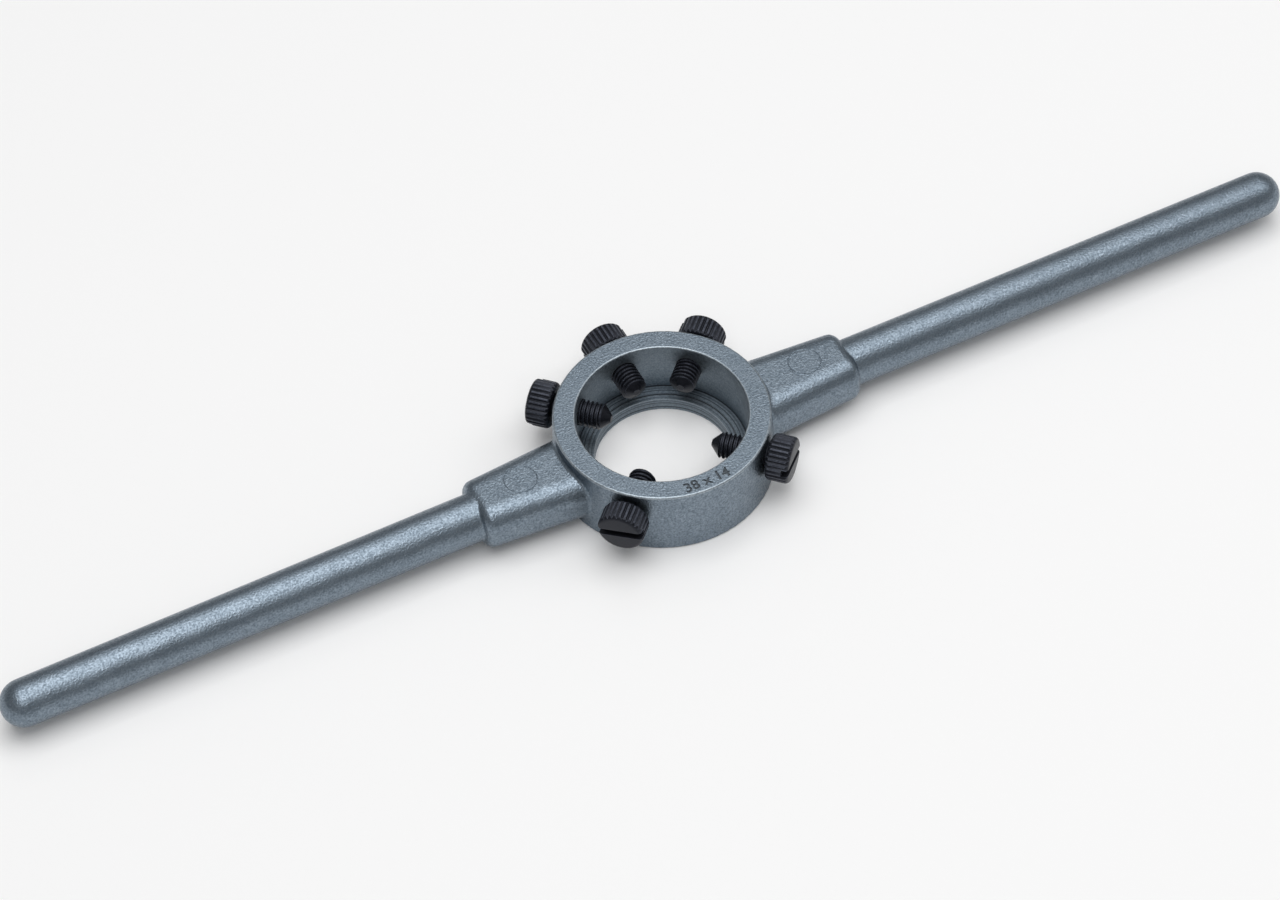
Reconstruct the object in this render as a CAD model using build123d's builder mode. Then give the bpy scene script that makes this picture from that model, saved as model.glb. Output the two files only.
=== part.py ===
"""Die stock handle: a two-handed wrench that turns a round threading die.

The stock is one casting: a ring that holds the die, a boss on each side of it and a
round handle on each boss. Five knurled, slotted thumb screws stand round the ring and
point at its centre. One spreads the die at its slot, the others close and hold it.

Millimetres. The die's axis is Z, the ring's underside is z = 0, the handles lie along X.
"""
import os
from math import cos, radians, sin, tan

from build123d import *

# The die that the ring holds
die_diameter = 38.0
die_thickness = 14.0
die_clearance = 0.1  # across the diameter
die_proud = 1.0  # how far a seated die stands above the ring

# Ring
ledge_thickness = 3.7  # floor that the die sits on
window_diameter = 30.6  # hole through the floor
lip_width = 1.3  # relieved rim round the window
lip_depth = 0.3
ring_wall = 5.0  # at the top of the ring
draft_angle = 1.7  # of the ring's outside, wider towards the underside
ring_edge_radius = 0.5
mouth_radius = 0.4  # rounded edge at the top of the seat

# Handles
overall_length = 315.0
axis_height = 7.7  # of the handles and bosses above the underside
handle_root_diameter = 11.0
handle_tip_diameter = 10.6

# Bosses, rounded blocks between the ring and the handles
boss_length = 21.9
boss_height = 12.0
boss_width_at_ring = 18.2
boss_width_at_handle = 14.9
boss_edge_radius = 4.8
boss_end_radius = 2.4
ring_root_radius = 1.0  # fillet between boss and ring
handle_root_radius = 0.6  # fillet between handle and boss

# Thumb screws
side_screw_angle = 45.0  # of the outer four, from the line of the handles
screw_diameter = 6.0
thread_pitch = 1.0
thread_clearance = 0.05  # all round the screw in its hole
shank_length = 11.0  # from under the head to the start of the point
point_diameter = 1.6  # flat at the tip
sharp_point_angle = 90.0
blunt_point_angle = 120.0
head_diameter = 10.5
head_length = 5.5
head_chamfer = 0.8
knurl_count = 28
knurl_depth = 0.4
slot_width = 1.8
slot_depth = 1.6

# Each screw's place round the ring, the turns it is backed out, the turn of its slot, its point
screws = {
    "closing_screw_right": (side_screw_angle, 0.8, 20, blunt_point_angle),
    "spreading_screw": (90, 0.4, -19, blunt_point_angle),
    "closing_screw_left": (180 - side_screw_angle, 0.6, -35, sharp_point_angle),
    "holding_screw_left": (180 + side_screw_angle, 0.4, 7, blunt_point_angle),
    "holding_screw_right": (360 - side_screw_angle, 0.3, -10, sharp_point_angle),
}

# Sizes that follow from those above
seat_radius = (die_diameter + die_clearance) / 2
window_radius = window_diameter / 2
ring_height = ledge_thickness + die_thickness - die_proud
ring_top_radius = seat_radius + ring_wall
screw_height = ledge_thickness + die_thickness / 2
screw_radius = screw_diameter / 2
head_radius = head_diameter / 2


def ring_radius(height):
    """Radius of the ring's drafted outside at a height above the underside."""
    return ring_top_radius + (ring_height - height) * tan(radians(draft_angle))


boss_start = seat_radius
boss_root = ring_radius(axis_height)
boss_end = boss_root + boss_length
boss_taper = (boss_width_at_ring - boss_width_at_handle) / boss_length
boss_start_width = boss_width_at_ring + boss_taper * (boss_root - boss_start)


def arm_section(distance):
    """Plane across a handle's axis, at a distance from the die's axis."""
    return Plane(origin=(distance, 0, axis_height), x_dir=(0, 1, 0), z_dir=(1, 0, 0))


def screw_plane(angle, distance):
    """Plane across a screw's axis, facing outwards, at a distance from the die's axis."""
    outwards = Vector(cos(radians(angle)), sin(radians(angle)), 0)
    origin = outwards * distance + Vector(0, 0, screw_height)
    return Plane(origin=origin, x_dir=(-outwards.Y, outwards.X, 0), z_dir=outwards)


# One arm: a tapered boss with a rounded end, and its handle with a ball end
root_radius = handle_root_diameter / 2
tip_radius = handle_tip_diameter / 2
tip_centre = overall_length / 2 - tip_radius
with BuildPart() as arm:
    with BuildSketch(arm_section(boss_start)):
        RectangleRounded(boss_start_width, boss_height, boss_edge_radius)
    with BuildSketch(arm_section(boss_end)):
        RectangleRounded(boss_width_at_handle, boss_height, boss_edge_radius)
    loft()
    fillet(arm.faces().sort_by(Axis.X)[-1].edges(), boss_end_radius)

    with BuildSketch(Plane(origin=(0, 0, axis_height), x_dir=(1, 0, 0), z_dir=(0, -1, 0))):
        with BuildLine():
            Polyline(
                (tip_centre + tip_radius, 0),
                (boss_start, 0),
                (boss_start, root_radius),
                (boss_end, root_radius),
                (tip_centre, tip_radius),
            )
            CenterArc((tip_centre, 0), tip_radius, 0, 90)
        make_face()
    revolve(axis=Axis((0, 0, axis_height), (1, 0, 0)))
    fillet(arm.edges(Select.NEW), handle_root_radius)

# The casting: the drafted ring, an arm on each side, then what is machined into them
with BuildPart() as stock_body:
    with BuildSketch(Plane.XZ):
        with BuildLine():
            Polyline(
                (0, 0),
                (ring_radius(0), 0),
                (ring_top_radius, ring_height),
                (0, ring_height),
                close=True,
            )
        make_face()
    revolve(axis=Axis.Z)
    fillet(stock_body.edges().filter_by(GeomType.CIRCLE), ring_edge_radius)
    for side in (arm.part, arm.part.mirror(Plane.YZ)):
        add(side)
        fillet(stock_body.edges(Select.NEW), ring_root_radius)

    # Seat for the die, the relieved lip and the window, turned in one profile
    lip_height = ledge_thickness - lip_depth
    mouth_centre = seat_radius + mouth_radius
    with BuildSketch(Plane.XZ):
        with BuildLine():
            Polyline(
                (mouth_centre, ring_height),
                (0, ring_height),
                (0, 0),
                (window_radius, 0),
                (window_radius, lip_height),
                (window_radius + lip_width, lip_height),
                (window_radius + lip_width, ledge_thickness),
                (seat_radius, ledge_thickness),
                (seat_radius, ring_height - mouth_radius),
            )
            CenterArc((mouth_centre, ring_height - mouth_radius), mouth_radius, 90, 90)
        make_face()
    revolve(axis=Axis.Z, mode=Mode.SUBTRACT)

    # Screw holes, square to the ring's wall at the middle of the die
    for angle, *_ in screws.values():
        with BuildSketch(screw_plane(angle, 0)):
            Circle(screw_radius + thread_clearance)
        extrude(amount=ring_radius(0), mode=Mode.SUBTRACT)


def thumb_screw(angle, turns_out, slot_turn, point_angle):
    """A knurled, slotted thumb screw in its place round the ring."""
    head_seat = ring_radius(screw_height - head_radius) + turns_out * thread_pitch
    point_length = (screw_diameter - point_diameter) / 2 / tan(radians(point_angle / 2))
    with BuildPart() as screw:
        # Head: a disc with both rims chamfered, V grooves along its side and a driver's slot
        with BuildSketch(screw_plane(angle, head_seat)):
            Circle(head_radius)
        extrude(amount=head_length)
        chamfer(screw.edges().filter_by(GeomType.CIRCLE), head_chamfer)
        with BuildSketch(screw_plane(angle, head_seat)):
            with PolarLocations(head_radius, knurl_count):
                RegularPolygon(knurl_depth, 4)
        extrude(amount=head_length, mode=Mode.SUBTRACT)
        with BuildSketch(screw_plane(angle, head_seat + head_length - slot_depth)):
            Rectangle(head_diameter, slot_width, rotation=slot_turn)
        extrude(amount=slot_depth, mode=Mode.SUBTRACT)

        # Shank with a coned point
        with BuildSketch(screw_plane(angle, head_seat)):
            Circle(screw_radius)
        extrude(amount=-shank_length - point_length)
        tip = screw.edges().filter_by(GeomType.CIRCLE).sort_by_distance((0, 0, screw_height))[0]
        chamfer(tip, point_length, (screw_diameter - point_diameter) / 2)
    return screw.part


# Finished pieces
os.makedirs("parts", exist_ok=True)
pieces = {"stock_body": stock_body.part}
for screw_name, place in screws.items():
    pieces[screw_name] = thumb_screw(*place)
for piece_name, piece in pieces.items():
    piece.label = piece_name
    export_step(piece, f"parts/{piece_name}.step")
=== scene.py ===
"""Looks of the die stock handle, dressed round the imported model.

Metres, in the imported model's frame: the die's axis is Z, the handles lie along X and the
ring's underside is z = 0. The pieces come in the order in which the stock is made up.
"""
from math import cos, hypot, pi, radians, sin, tan

import bpy
from mathutils import Matrix, Vector


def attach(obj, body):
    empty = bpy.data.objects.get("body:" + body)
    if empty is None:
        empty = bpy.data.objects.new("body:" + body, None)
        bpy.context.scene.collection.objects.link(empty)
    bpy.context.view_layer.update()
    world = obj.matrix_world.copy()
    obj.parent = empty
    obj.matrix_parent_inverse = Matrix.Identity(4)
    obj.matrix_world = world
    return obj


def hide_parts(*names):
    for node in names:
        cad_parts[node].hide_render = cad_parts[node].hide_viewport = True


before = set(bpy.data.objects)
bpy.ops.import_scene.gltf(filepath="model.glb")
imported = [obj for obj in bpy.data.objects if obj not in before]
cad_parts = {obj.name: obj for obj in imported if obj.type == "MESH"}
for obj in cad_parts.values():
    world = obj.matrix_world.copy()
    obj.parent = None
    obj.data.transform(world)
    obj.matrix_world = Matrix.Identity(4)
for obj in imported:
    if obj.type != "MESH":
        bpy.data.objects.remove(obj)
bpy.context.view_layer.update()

# Casting
# The stock's body is one die casting in zinc alloy: the ring, a boss on each side of it and
# both handles. It leaves the mould with a fine grain and the round witness of an ejector pin
# on each boss, and tumbling dulls it to a blue grey. The die size is stamped in the ring.
merge_distance = 0.000001
level_margin = 0.00001  # what lies closer to a flat level than this belongs to it
seat_radius = 0.01905
mouth_radius = 0.0004
mouth_rub_and_highlight_depth = 0.00024  # of the mouth's rounding that is rubbed bright and carries a painted highlight
ring_height = 0.0167
ring_top_radius = 0.02405
draft_margin = 0.0001  # by which the ring's side widens at most below its rounded edge
ring_edge_radius = 0.0005
boss_top = 0.0137
pin_marks = ((0.0356, 0.0005), (-0.0345, 0.0002))  # X and Y on the bosses
pin_mark_radius = 0.00365
pin_mark_groove = 0.00013
stamp_words = "38 x 14"  # diameter and thickness of the die
stamp_height = 0.0025
figure_share = 0.7  # of a font's size that a figure is high
stamp_depth = 0.0002
stamp_boldness = 0.00008
stamp_centre = (0, -0.0215)
grain_size = 0.00045
mottle_size = 0.003


def metal_grain_group():
    """Speckled skin of cast, turned or blackened metal: a colour, a roughness, a normal."""
    group = bpy.data.node_groups.new("metal_grain", "ShaderNodeTree")
    for name, kind in (
        ("Light", "NodeSocketColor"),
        ("Dark", "NodeSocketColor"),
        ("Grain Size", "NodeSocketFloat"),
        ("Mottle Size", "NodeSocketFloat"),
        ("Roughness", "NodeSocketFloat"),
        ("Roughness Spread", "NodeSocketFloat"),
        ("Depth", "NodeSocketFloat"),
    ):
        group.interface.new_socket(name, in_out="INPUT", socket_type=kind)
    for name, kind in (
        ("Color", "NodeSocketColor"),
        ("Roughness", "NodeSocketFloat"),
        ("Normal", "NodeSocketVector"),
    ):
        group.interface.new_socket(name, in_out="OUTPUT", socket_type=kind)
    nodes, links = group.nodes, group.links
    inputs = nodes.new("NodeGroupInput")
    outputs = nodes.new("NodeGroupOutput")
    place = nodes.new("ShaderNodeTexCoord")

    def noise(size_name, detail):
        scale = nodes.new("ShaderNodeMath")
        scale.operation = "DIVIDE"
        scale.inputs[0].default_value = 1
        links.new(inputs.outputs[size_name], scale.inputs[1])
        texture = nodes.new("ShaderNodeTexNoise")
        texture.inputs["Detail"].default_value = detail
        links.new(place.outputs["Object"], texture.inputs["Vector"])
        links.new(scale.outputs[0], texture.inputs["Scale"])
        return texture.outputs["Fac"]

    grain = noise("Grain Size", 2)
    mottle = noise("Mottle Size", 3)

    # The speckle is mostly grain. A noise stays near its middle, so that part is stretched
    # to reach all the way from the dark to the light
    both = nodes.new("ShaderNodeMix")
    both.inputs["Factor"].default_value = 0.2
    links.new(grain, both.inputs["A"])
    links.new(mottle, both.inputs["B"])

    spread = nodes.new("ShaderNodeMapRange")
    spread.inputs["From Min"].default_value = 0.35
    spread.inputs["From Max"].default_value = 0.65
    links.new(both.outputs["Result"], spread.inputs["Value"])

    colour = nodes.new("ShaderNodeMix")
    colour.data_type = "RGBA"
    links.new(spread.outputs["Result"], colour.inputs["Factor"])
    links.new(inputs.outputs["Dark"], colour.inputs["A"])
    links.new(inputs.outputs["Light"], colour.inputs["B"])
    links.new(colour.outputs["Result"], outputs.inputs["Color"])

    # A negative spread makes the lighter grains the smoother ones
    centred = nodes.new("ShaderNodeMath")
    centred.operation = "SUBTRACT"
    links.new(grain, centred.inputs[0])
    centred.inputs[1].default_value = 0.5
    rough = nodes.new("ShaderNodeMath")
    rough.operation = "MULTIPLY_ADD"
    links.new(centred.outputs[0], rough.inputs[0])
    links.new(inputs.outputs["Roughness Spread"], rough.inputs[1])
    links.new(inputs.outputs["Roughness"], rough.inputs[2])
    links.new(rough.outputs[0], outputs.inputs["Roughness"])

    # With a distance of one, the bump's height is in metres
    bump = nodes.new("ShaderNodeBump")
    bump.inputs["Distance"].default_value = 1
    height = nodes.new("ShaderNodeMath")
    height.operation = "MULTIPLY"
    links.new(grain, height.inputs[0])
    links.new(inputs.outputs["Depth"], height.inputs[1])
    links.new(height.outputs[0], bump.inputs["Height"])
    links.new(bump.outputs["Normal"], outputs.inputs["Normal"])
    return group


def edge_wear_and_highlight_group():
    """Mask of the edges that handling rubs bright and that carry a painted highlight, broken
    up by the grain.
    """
    group = bpy.data.node_groups.new("edge_wear_and_highlight", "ShaderNodeTree")
    for name in ("Edge Width", "Breaks"):
        group.interface.new_socket(name, in_out="INPUT", socket_type="NodeSocketFloat")
    group.interface.new_socket("Mask", in_out="OUTPUT", socket_type="NodeSocketFloat")
    nodes, links = group.nodes, group.links
    inputs = nodes.new("NodeGroupInput")
    outputs = nodes.new("NodeGroupOutput")

    # Near an edge the rounded normal turns away from the surface's own
    slight_turn, full_turn = 0.995, 0.88  # cosines between the two normals
    breaks_per_metre = 900
    rounded = nodes.new("ShaderNodeBevel")
    rounded.samples = 4
    links.new(inputs.outputs["Edge Width"], rounded.inputs["Radius"])
    surface = nodes.new("ShaderNodeNewGeometry")
    turn = nodes.new("ShaderNodeVectorMath")
    turn.operation = "DOT_PRODUCT"
    links.new(rounded.outputs["Normal"], turn.inputs[0])
    links.new(surface.outputs["Normal"], turn.inputs[1])
    edge = nodes.new("ShaderNodeMapRange")
    edge.inputs["From Min"].default_value = slight_turn
    edge.inputs["From Max"].default_value = full_turn
    links.new(turn.outputs["Value"], edge.inputs["Value"])

    place = nodes.new("ShaderNodeTexCoord")
    breaks = nodes.new("ShaderNodeTexNoise")
    breaks.inputs["Scale"].default_value = breaks_per_metre
    links.new(place.outputs["Object"], breaks.inputs["Vector"])
    kept = nodes.new("ShaderNodeMapRange")
    kept.inputs["From Min"].default_value = 0.35
    kept.inputs["From Max"].default_value = 0.6
    links.new(breaks.outputs["Fac"], kept.inputs["Value"])
    full = nodes.new("ShaderNodeMix")
    full.inputs["A"].default_value = 1
    links.new(inputs.outputs["Breaks"], full.inputs["Factor"])
    links.new(kept.outputs["Result"], full.inputs["B"])
    mask = nodes.new("ShaderNodeMath")
    mask.operation = "MULTIPLY"
    links.new(edge.outputs["Result"], mask.inputs[0])
    links.new(full.outputs["Result"], mask.inputs[1])
    links.new(mask.outputs[0], outputs.inputs["Mask"])
    return group


metal_grain = metal_grain_group()
edge_wear_and_highlight = edge_wear_and_highlight_group()


def grained_metal(name, metallic, **grain_values):
    """A metal whose colour, roughness and normal all come from its grain."""
    material = bpy.data.materials.new(name)
    material.use_nodes = True
    nodes, links = material.node_tree.nodes, material.node_tree.links
    shader = nodes["Principled BSDF"]
    shader.inputs["Metallic"].default_value = metallic
    grain = nodes.new("ShaderNodeGroup")
    grain.name = "grain"
    grain.node_tree = metal_grain
    for socket, value in grain_values.items():
        grain.inputs[socket.replace("_", " ")].default_value = value
    links.new(grain.outputs["Color"], shader.inputs["Base Color"])
    links.new(grain.outputs["Roughness"], shader.inputs["Roughness"])
    links.new(grain.outputs["Normal"], shader.inputs["Normal"])
    return material


def tint(material, mask, colour):
    """Lays one more colour over a material's own, where the mask is white."""
    nodes, links = material.node_tree.nodes, material.node_tree.links
    base = nodes["Principled BSDF"].inputs["Base Color"]
    mixed = nodes.new("ShaderNodeMix")
    mixed.data_type = "RGBA"
    mixed.inputs["B"].default_value = colour
    links.new(mask, mixed.inputs["Factor"])
    links.new(base.links[0].from_socket, mixed.inputs["A"])
    links.new(mixed.outputs["Result"], base)


def rub_and_highlight_edges(material, colour, edge_width, breaks):
    """Brightens a material along the edges of its piece, partly as wear and partly as a
    painted highlight.
    """
    wear_and_highlight = material.node_tree.nodes.new("ShaderNodeGroup")
    wear_and_highlight.node_tree = edge_wear_and_highlight
    wear_and_highlight.inputs["Edge Width"].default_value = edge_width
    wear_and_highlight.inputs["Breaks"].default_value = breaks
    tint(material, wear_and_highlight.outputs["Mask"], colour)


cast_metal = grained_metal(
    "cast_zinc",
    metallic=1,
    Light=(0.250, 0.300, 0.352, 1),
    Dark=(0.142, 0.179, 0.217, 1),
    Grain_Size=grain_size,
    Mottle_Size=mottle_size,
    Roughness=0.38,
    Roughness_Spread=-0.6,
    Depth=0.0001,
)

# Both edges of the ring's top are lighter, partly from tumbling and partly as a painted
# highlight, and the stamp is darker, partly as dirt and partly as painted shade.
rim_wear_and_highlight_metal = grained_metal(
    "tumbled_rim_and_painted_highlight",
    metallic=1,
    Light=(0.43, 0.485, 0.53, 1),
    Dark=(0.255, 0.30, 0.34, 1),
    Grain_Size=grain_size,
    Mottle_Size=mottle_size,
    Roughness=0.44,
    Roughness_Spread=0.2,
    Depth=0.00002,
)
# Dark metal for the stamp's recesses: partly dirt, partly painted shade.
recess_dirt_and_shade_metal = grained_metal(
    "dirt_and_painted_shade_in_recess",
    metallic=0.6,
    Light=(0.11, 0.13, 0.15, 1),
    Dark=(0.045, 0.055, 0.065, 1),
    Grain_Size=grain_size,
    Mottle_Size=mottle_size,
    Roughness=0.6,
    Roughness_Spread=0.2,
    Depth=0.00003,
)

# The seat, its ledge and lip and the window are turned after casting. The tool's fine lines
# run round the ring, so they follow the distance along the turned profile, which is radius
# plus height. They are faint up the wall. The two inner corners are painted darker, partly
# as dirt and partly as painted shade.
turned_corners = (0.02275, 0.02005)  # along the profile, of the seat and of the lip
corner_dirt_and_shade_width = 0.00028
corner_dirt_and_shade_cover = 0.85
corner_dirt_and_shade_colour = (0.035, 0.04, 0.05, 1)
lines_strong_below = 0.0035
lines_faint_above = 0.0055
faint_line_strength = 0.12
lines_per_metre = 1700
line_depth = 0.00002
line_colour = (0.07, 0.085, 0.10, 1)
turned_metal = grained_metal(
    "turned_zinc",
    metallic=0.9,
    Light=(0.285, 0.338, 0.386, 1),
    Dark=(0.166, 0.201, 0.235, 1),
    Grain_Size=0.0004,
    Mottle_Size=0.004,
    Roughness=0.5,
    Roughness_Spread=0.25,
    Depth=0.00003,
)
# The turned edges are lighter, partly rubbed and partly a painted highlight.
rub_and_highlight_edges(turned_metal, (0.50, 0.56, 0.61, 1), edge_width=0.0003, breaks=0.4)
nodes, links = turned_metal.node_tree.nodes, turned_metal.node_tree.links
shader = nodes["Principled BSDF"]
place = nodes.new("ShaderNodeTexCoord")
axes = nodes.new("ShaderNodeSeparateXYZ")
links.new(place.outputs["Object"], axes.inputs["Vector"])
across = nodes.new("ShaderNodeCombineXYZ")
links.new(axes.outputs["X"], across.inputs["X"])
links.new(axes.outputs["Y"], across.inputs["Y"])
radius = nodes.new("ShaderNodeVectorMath")
radius.operation = "LENGTH"
links.new(across.outputs["Vector"], radius.inputs[0])
profile = nodes.new("ShaderNodeMath")
profile.operation = "ADD"
links.new(radius.outputs["Value"], profile.inputs[0])
links.new(axes.outputs["Z"], profile.inputs[1])

lines = nodes.new("ShaderNodeTexNoise")
lines.noise_dimensions = "1D"
lines.inputs["Scale"].default_value = lines_per_metre
lines.inputs["Detail"].default_value = 2
links.new(profile.outputs[0], lines.inputs["W"])
fade = nodes.new("ShaderNodeMapRange")
fade.inputs["From Min"].default_value = lines_faint_above
fade.inputs["From Max"].default_value = lines_strong_below
fade.inputs["To Min"].default_value = faint_line_strength
links.new(axes.outputs["Z"], fade.inputs["Value"])
grooves = nodes.new("ShaderNodeMapRange")
grooves.inputs["From Min"].default_value = 0.48
grooves.inputs["From Max"].default_value = 0.66
links.new(lines.outputs["Fac"], grooves.inputs["Value"])
groove_mask = nodes.new("ShaderNodeMath")
groove_mask.operation = "MULTIPLY"
links.new(grooves.outputs["Result"], groove_mask.inputs[0])
links.new(fade.outputs["Result"], groove_mask.inputs[1])
tint(turned_metal, groove_mask.outputs[0], line_colour)
# Painted shade, partly dirt: darker along the two inner corners.
for corner in turned_corners:
    away = nodes.new("ShaderNodeMath")
    away.operation = "SUBTRACT"
    away.inputs[1].default_value = corner
    links.new(profile.outputs[0], away.inputs[0])
    distance = nodes.new("ShaderNodeMath")
    distance.operation = "ABSOLUTE"
    links.new(away.outputs[0], distance.inputs[0])
    corner_dirt_and_shade = nodes.new("ShaderNodeMapRange")
    corner_dirt_and_shade.inputs["From Max"].default_value = corner_dirt_and_shade_width
    corner_dirt_and_shade.inputs["To Min"].default_value = corner_dirt_and_shade_cover
    corner_dirt_and_shade.inputs["To Max"].default_value = 0
    links.new(distance.outputs[0], corner_dirt_and_shade.inputs["Value"])
    tint(turned_metal, corner_dirt_and_shade.outputs["Result"], corner_dirt_and_shade_colour)

line_height = nodes.new("ShaderNodeMath")
line_height.operation = "MULTIPLY"
line_height.inputs[1].default_value = -line_depth
links.new(groove_mask.outputs[0], line_height.inputs[0])
line_bump = nodes.new("ShaderNodeBump")
line_bump.inputs["Distance"].default_value = 1
links.new(line_height.outputs[0], line_bump.inputs["Height"])
links.new(nodes["grain"].outputs["Normal"], line_bump.inputs["Normal"])
links.new(line_bump.outputs["Normal"], shader.inputs["Normal"])


def edit(thing):
    """Takes one object into edit mode with everything on it selected."""
    bpy.ops.object.select_all(action="DESELECT")
    bpy.context.view_layer.objects.active = thing
    thing.select_set(True)
    bpy.ops.object.mode_set(mode="EDIT")
    bpy.ops.mesh.select_all(action="SELECT")


def select_faces(thing, wanted):
    """In edit mode, selects the faces whose centre the test wants."""
    bpy.ops.mesh.select_mode(type="FACE")
    bpy.ops.mesh.select_all(action="DESELECT")
    bpy.ops.object.mode_set(mode="OBJECT")
    for face in thing.data.polygons:
        face.select = wanted(face.center)
    bpy.ops.object.mode_set(mode="EDIT")


def apply(thing, kind, **settings):
    """Adds a modifier and applies it at once."""
    modifier = thing.modifiers.new(kind.lower(), kind)
    for setting, value in settings.items():
        setattr(modifier, setting, value)
    bpy.context.view_layer.objects.active = thing
    bpy.ops.object.modifier_apply(modifier=modifier.name)


def cut(thing, cutter, operation="DIFFERENCE", crosses_itself=False):
    """Joins or cuts a piece with another, and drops the cutter."""
    apply(
        thing,
        "BOOLEAN",
        object=cutter,
        operation=operation,
        solver="EXACT",
        use_self=crosses_itself,
        material_mode="TRANSFER",
    )
    bpy.data.objects.remove(cutter)


# The CAD model's long facets are split every 4 mm, so the tapered bosses shade smoothly.
body_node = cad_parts["stock_body"]
casting = bpy.data.objects.new("die_casting", body_node.data.copy())
bpy.context.scene.collection.objects.link(casting)
edit(casting)
bpy.ops.mesh.remove_doubles(threshold=merge_distance)
bpy.ops.mesh.customdata_custom_splitnormals_clear()
for millimetres in range(-44, 45, 4):
    bpy.ops.mesh.select_all(action="SELECT")
    bpy.ops.mesh.bisect(plane_co=(millimetres / 1000, 0, 0), plane_no=(1, 0, 0))
bpy.ops.object.mode_set(mode="OBJECT")
casting.data.materials.clear()
for metal in (cast_metal, turned_metal, rim_wear_and_highlight_metal):
    casting.data.materials.append(metal)

for x, y in pin_marks:
    bpy.ops.mesh.primitive_torus_add(
        location=(x, y, boss_top),
        major_radius=pin_mark_radius,
        minor_radius=pin_mark_groove,
        major_segments=64,
        minor_segments=10,
    )
    bpy.context.object.data.materials.append(cast_metal)
    cut(casting, bpy.context.object)

bpy.ops.object.text_add(location=(*stamp_centre, ring_height))
stamp = bpy.context.object
stamp.data.body = stamp_words
stamp.data.size = stamp_height / figure_share
stamp.data.align_x = "CENTER"
stamp.data.align_y = "CENTER"
stamp.data.extrude = stamp_depth
stamp.data.offset = stamp_boldness
stamp.data.resolution_u = 4
bpy.ops.object.convert(target="MESH")
stamp = bpy.context.object
edit(stamp)
bpy.ops.mesh.remove_doubles(threshold=merge_distance)
bpy.ops.mesh.normals_make_consistent(inside=False)
bpy.ops.object.mode_set(mode="OBJECT")
# The stamp's faces are painted darker, partly as dirt and partly as painted shade.
stamp.data.materials.append(recess_dirt_and_shade_metal)
cut(casting, stamp, crosses_itself=True)  # the strokes of a bold 4 do


def is_turned(c):
    """Whether a place on the casting is inside the seat, the window or the mouth's edge."""
    return hypot(c.x, c.y) < seat_radius + mouth_radius and c.z > level_margin


def is_rim(c):
    """Whether a place is on the rounded outer or inner edge of the ring's top."""
    radius, below_top = hypot(c.x, c.y), ring_height - c.z
    flat_top_radius = ring_top_radius - ring_edge_radius
    on_outer_edge = flat_top_radius < radius < ring_top_radius + draft_margin
    on_mouth = radius < seat_radius + mouth_radius
    return (on_outer_edge and level_margin < below_top < ring_edge_radius) or (
        on_mouth and below_top < mouth_rub_and_highlight_depth
    )


# The rim's faces take the lighter metal: partly tumbled wear, partly a painted highlight.
edit(casting)
for metal_slot, wanted in enumerate((is_turned, is_rim), start=1):
    select_faces(casting, wanted)
    casting.active_material_index = metal_slot
    bpy.ops.object.material_slot_assign()
bpy.ops.object.mode_set(mode="OBJECT")
bpy.ops.object.shade_smooth_by_angle(angle=radians(28))
apply(casting, "WEIGHTED_NORMAL", keep_sharp=True)
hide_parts("stock_body")
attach(casting, "stock")

# Thumb screws
# Five turned steel screws with a straight knurl round the head, a slot for a driver and a
# coned point. They are blackened, and screw into the ring square to its wall. Three points
# are blunt and two are sharp.
screw_height = 0.0107  # of every screw's axis
thread_radius = 0.00298
thread_root = 0.00246
thread_trim = 0.00006  # by which the crests are cut flat
thread_pitch = 0.001
shank_length = 0.011
shank_in_head = 0.001
point_radius = 0.0008
head_radius = 0.00525
head_length = 0.0055
head_edge_radius = 0.001
knurl_count = 28
knurl_root = 0.00485
knurl_overhang = 0.0005  # of the cutting star beyond both ends of the head
knurl_edge_bevel = 0.00006
slot_width = 0.0018
slot_depth = 0.0016
slot_cutter_length = 0.012
wall_distance = 0.024384  # from the die's axis to where a head would meet the ring
screws = (  # name, angle round the ring, gap between head and ring, turn of the slot, point
    ("closing_screw_right", 45, 0.0008, 20, "blunt"),
    ("spreading_screw", 90, 0.0004, -19, "blunt"),
    ("closing_screw_left", 135, 0.0006, -35, "sharp"),
    ("holding_screw_left", 225, 0.0004, 7, "blunt"),
    ("holding_screw_right", 315, 0.0003, -10, "sharp"),
)
point_half_angles = {"blunt": radians(60), "sharp": radians(45)}
# The ridges of the knurl are lighter than the rest, partly rubbed by fingers and partly a
# painted highlight.
ridge_radius = 0.0052  # from the screw's axis, only the ridges lie beyond
oxides = []
for name, light, dark in (
    ("black_oxide", (0.007, 0.0075, 0.010, 1), (0.002, 0.002, 0.003, 1)),
    ("rubbed_and_highlit_oxide", (0.062, 0.069, 0.088, 1), (0.016, 0.018, 0.024, 1)),
):
    oxide = grained_metal(
        name,
        metallic=0,
        Light=light,
        Dark=dark,
        Grain_Size=0.0004,
        Mottle_Size=0.002,
        Roughness=0.38,
        Roughness_Spread=0.25,
        Depth=0.00003,
    )
    # Their edges are lighter, partly rubbed and partly a painted highlight.
    rub_and_highlight_edges(oxide, (0.12, 0.135, 0.175, 1), edge_width=0.00012, breaks=0.7)
    shader = oxide.node_tree.nodes["Principled BSDF"]
    shader.inputs["Specular IOR Level"].default_value = 0.38
    shader.inputs["Specular Tint"].default_value = (0.76, 0.82, 1, 1)
    oxides.append(oxide)


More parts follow.
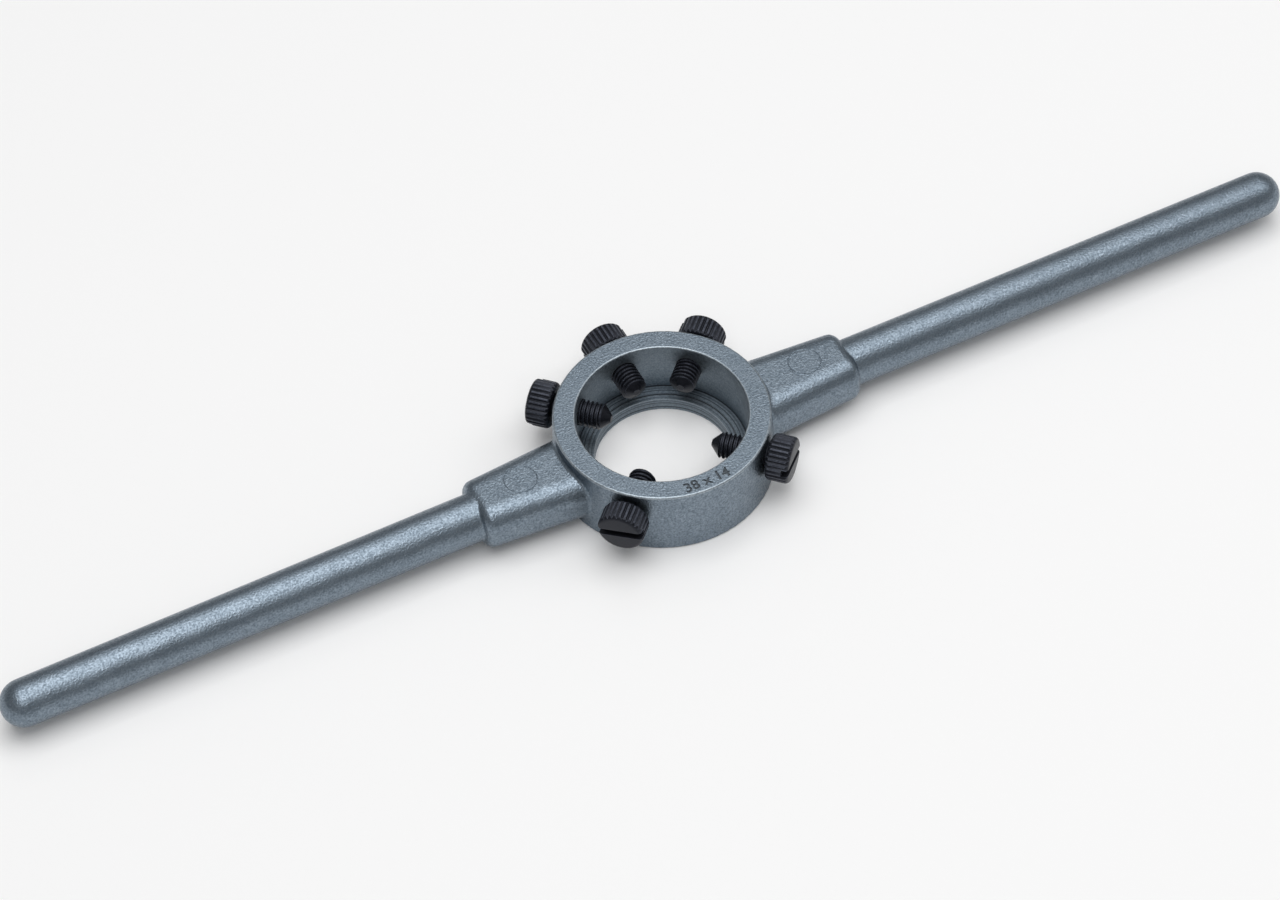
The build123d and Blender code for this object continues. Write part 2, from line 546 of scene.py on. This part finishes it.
def threaded_shank(point_length):
    """A threaded shank down from z = 0, ended by a coned point. It starts inside the head."""
    # The thread is drawn two turns too long at either end, and cut to a plain blank's shape
    turns = int((shank_length + point_length + shank_in_head) / thread_pitch) + 4
    bottom = -shank_length - point_length - 2 * thread_pitch
    half_crest, half_root = thread_pitch / 16, thread_pitch / 8
    flank = thread_pitch / 2 - half_crest - half_root
    bpy.ops.mesh.primitive_plane_add(size=0.001, location=(0, 0, 0))
    thread = bpy.context.object
    thread.name = "thread"
    edit(thread)
    bpy.ops.mesh.select_mode(type="VERT")
    bpy.ops.mesh.merge(type="CENTER")
    bpy.ops.transform.translate(value=(thread_root, 0, bottom))
    for out, up in (
        (0, half_root),
        (thread_radius + thread_trim - thread_root, flank),
        (0, 2 * half_crest),
        (thread_root - thread_radius - thread_trim, flank),
        (0, half_root),
    ):
        bpy.ops.mesh.extrude_region_move(TRANSFORM_OT_translate={"value": (out, 0, up)})
    bpy.ops.object.mode_set(mode="OBJECT")
    apply(
        thread,
        "SCREW",
        angle=2 * pi,
        screw_offset=thread_pitch,
        iterations=turns,
        steps=48,
        render_steps=48,
        use_merge_vertices=True,
        merge_threshold=2 * merge_distance,
    )
    edit(thread)
    bpy.ops.mesh.remove_doubles(threshold=2 * merge_distance)
    bpy.ops.mesh.fill_holes(sides=0)
    bpy.ops.mesh.normals_make_consistent(inside=False)
    bpy.ops.object.mode_set(mode="OBJECT")

    bpy.ops.mesh.primitive_cylinder_add(
        vertices=64,
        radius=thread_radius,
        depth=shank_length + shank_in_head,
        location=(0, 0, (shank_in_head - shank_length) / 2),
    )
    blank = bpy.context.object
    bpy.ops.object.transform_apply(location=True)
    edit(blank)
    select_faces(blank, lambda c: c.z < -shank_length + level_margin)
    bpy.ops.mesh.extrude_region_move(TRANSFORM_OT_translate={"value": (0, 0, -point_length)})
    shrink = point_radius / thread_radius
    bpy.ops.transform.resize(
        value=(shrink, shrink, 1), center_override=(0, 0, -shank_length - point_length)
    )
    bpy.ops.object.mode_set(mode="OBJECT")
    cut(thread, blank, "INTERSECT")
    return thread


def knurled_head():
    """A head that stands on z = 0, with rounded rims, V grooves and a slot along X."""
    bpy.ops.mesh.primitive_cylinder_add(
        vertices=4 * knurl_count,
        radius=head_radius,
        depth=head_length,
        location=(0, 0, head_length / 2),
    )
    head = bpy.context.object
    bpy.ops.object.transform_apply(location=True)
    edit(head)
    select_faces(head, lambda c: abs(c.z - head_length / 2) > head_length / 4)
    bpy.ops.mesh.bevel(offset=head_edge_radius, segments=6, affect="EDGES")
    bpy.ops.object.mode_set(mode="OBJECT")

    # The knurl is what the head shares with a star, drawn so that its grooves are square
    half_pitch = pi / knurl_count
    point_of_star = knurl_root / (cos(half_pitch) - sin(half_pitch))
    bpy.ops.mesh.primitive_circle_add(
        vertices=2 * knurl_count,
        radius=point_of_star,
        fill_type="NGON",
        location=(0, 0, -knurl_overhang),
    )
    knurl = bpy.context.object
    bpy.ops.object.transform_apply(location=True)
    edit(knurl)
    bpy.ops.mesh.select_mode(type="VERT")
    bpy.ops.mesh.select_all(action="DESELECT")
    bpy.ops.object.mode_set(mode="OBJECT")
    for vertex in knurl.data.vertices:
        vertex.select = vertex.index % 2 == 0
    bpy.ops.object.mode_set(mode="EDIT")
    inwards = knurl_root / point_of_star
    bpy.ops.transform.resize(
        value=(inwards, inwards, 1), center_override=(0, 0, -knurl_overhang)
    )
    bpy.ops.mesh.select_all(action="SELECT")
    bpy.ops.mesh.extrude_region_move(
        TRANSFORM_OT_translate={"value": (0, 0, head_length + 2 * knurl_overhang)}
    )
    bpy.ops.mesh.select_all(action="SELECT")
    bpy.ops.mesh.normals_make_consistent(inside=False)
    bpy.ops.object.mode_set(mode="OBJECT")
    cut(head, knurl, "INTERSECT")

    bpy.ops.mesh.primitive_cube_add(
        size=1,
        location=(0, 0, head_length),
        scale=(slot_cutter_length, slot_width, 2 * slot_depth),
    )
    slot = bpy.context.object
    bpy.ops.object.transform_apply(location=True, rotation=True, scale=True)
    cut(head, slot)
    edit(head)
    bpy.ops.mesh.remove_doubles(threshold=2 * merge_distance)
    bpy.ops.mesh.fill_holes(sides=0)
    bpy.ops.mesh.normals_make_consistent(inside=False)
    bpy.ops.object.mode_set(mode="OBJECT")
    apply(
        head,
        "BEVEL",
        width=knurl_edge_bevel,
        segments=2,
        limit_method="ANGLE",
        angle_limit=radians(35),
        use_clamp_overlap=True,
    )
    return head


patterns = {}
for point, half_angle in point_half_angles.items():
    pattern = knurled_head()
    pattern.name = point + "_screw"
    cut(pattern, threaded_shank((thread_radius - point_radius) / tan(half_angle)), "UNION")
    pattern.data.materials.clear()
    for oxide in oxides:
        pattern.data.materials.append(oxide)
    edit(pattern)
    select_faces(pattern, lambda c: c.z > 0 and hypot(c.x, c.y) > ridge_radius)
    pattern.active_material_index = 1  # the rubbed oxide with its painted highlight
    bpy.ops.object.material_slot_assign()
    bpy.ops.object.mode_set(mode="OBJECT")
    patterns[point] = pattern

for name, angle, gap, slot_turn, point in screws:
    screw = bpy.data.objects.new("thumb_" + name, patterns[point].data.copy())
    bpy.context.scene.collection.objects.link(screw)
    outwards = Vector((cos(radians(angle)), sin(radians(angle)), 0))
    along_wall = Vector((-outwards.y, outwards.x, 0))
    axes = Matrix((along_wall, Vector((0, 0, 1)), outwards)).transposed()
    screw.matrix_world = (
        Matrix.Translation(outwards * (wall_distance + gap) + Vector((0, 0, screw_height)))
        @ (axes @ Matrix.Rotation(radians(slot_turn), 3, "Z")).to_4x4()
    )
    bpy.ops.object.select_all(action="DESELECT")
    bpy.context.view_layer.objects.active = screw
    screw.select_set(True)
    bpy.ops.object.transform_apply(location=True, rotation=True, scale=True)
    bpy.ops.object.shade_smooth_by_angle(angle=radians(30))
    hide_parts(name)
    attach(screw, name)
for pattern in patterns.values():
    bpy.data.objects.remove(pattern)

# Viewpoint
# The camera stands where the photograph was taken, above the near side of the stock. Its
# turn, height and lens are fitted to the ring's circles and the line of the handles.
view_turn = radians(-24.751)
view_height = radians(50.409)
view_roll = radians(-2.831)
view_distance = 1.1
view_shift = Vector((-0.00529, 0.00259, 0))
sensor_width = 36
lens = 139.79
view_rotation = (
    Matrix.Rotation(view_turn, 3, "Z")
    @ Matrix.Rotation(pi / 2 - view_height, 3, "X")
    @ Matrix.Rotation(view_roll, 3, "Z")
)
camera_data = bpy.data.cameras.new("camera")
camera_data.sensor_width = sensor_width
camera_data.lens = lens
camera_data.clip_start = 0.01
camera = bpy.data.objects.new("camera", camera_data)
camera.matrix_world = Matrix.Translation(
    view_rotation @ (view_shift + Vector((0, 0, view_distance)))
) @ view_rotation.to_4x4()
bpy.context.scene.collection.objects.link(camera)
bpy.context.scene.camera = camera

# Floor and light
# A pale floor under a broad soft lamp straight above, with three weaker ones leaning in from
# the front, the right and the back, in an even pale room.
floor_size = 12
floor_colour = (0.92, 0.92, 0.92, 1)
lamps = (  # name, place, side of its square, watts
    ("overhead", (0, 0, 1.5), 1.4, 14.5),
    ("front_lamp", (-0.4, -0.9, 1.4), 0.8, 4.0),
    ("right_lamp", (1.1, -0.2, 1.2), 0.8, 3.0),
    ("back_lamp", (0.4, 0.9, 1.4), 0.8, 1.5),
)
room_light = 0.29

bpy.ops.mesh.primitive_plane_add(size=floor_size, location=(0, 0, 0))
floor = bpy.context.object
floor.name = "floor"
floor_paint = bpy.data.materials.new("floor_paint")
floor_paint.use_nodes = True
shader = floor_paint.node_tree.nodes["Principled BSDF"]
shader.inputs["Base Color"].default_value = floor_colour
shader.inputs["Roughness"].default_value = 0.9
shader.inputs["Specular IOR Level"].default_value = 0.1
floor.data.materials.append(floor_paint)

for name, place, size, power in lamps:
    lamp_data = bpy.data.lights.new(name, "AREA")
    lamp_data.shape = "SQUARE"
    lamp_data.size = size
    lamp_data.energy = power
    lamp = bpy.data.objects.new(name, lamp_data)
    lamp.location = place
    lamp.rotation_euler = (-Vector(place)).to_track_quat("-Z", "Y").to_euler()
    bpy.context.scene.collection.objects.link(lamp)

world = bpy.data.worlds.new("room")
bpy.context.scene.world = world
world.use_nodes = True
world.node_tree.nodes["Background"].inputs["Color"].default_value = (1, 1, 1, 1)
world.node_tree.nodes["Background"].inputs["Strength"].default_value = room_light

bpy.context.scene.view_settings.view_transform = "Standard"
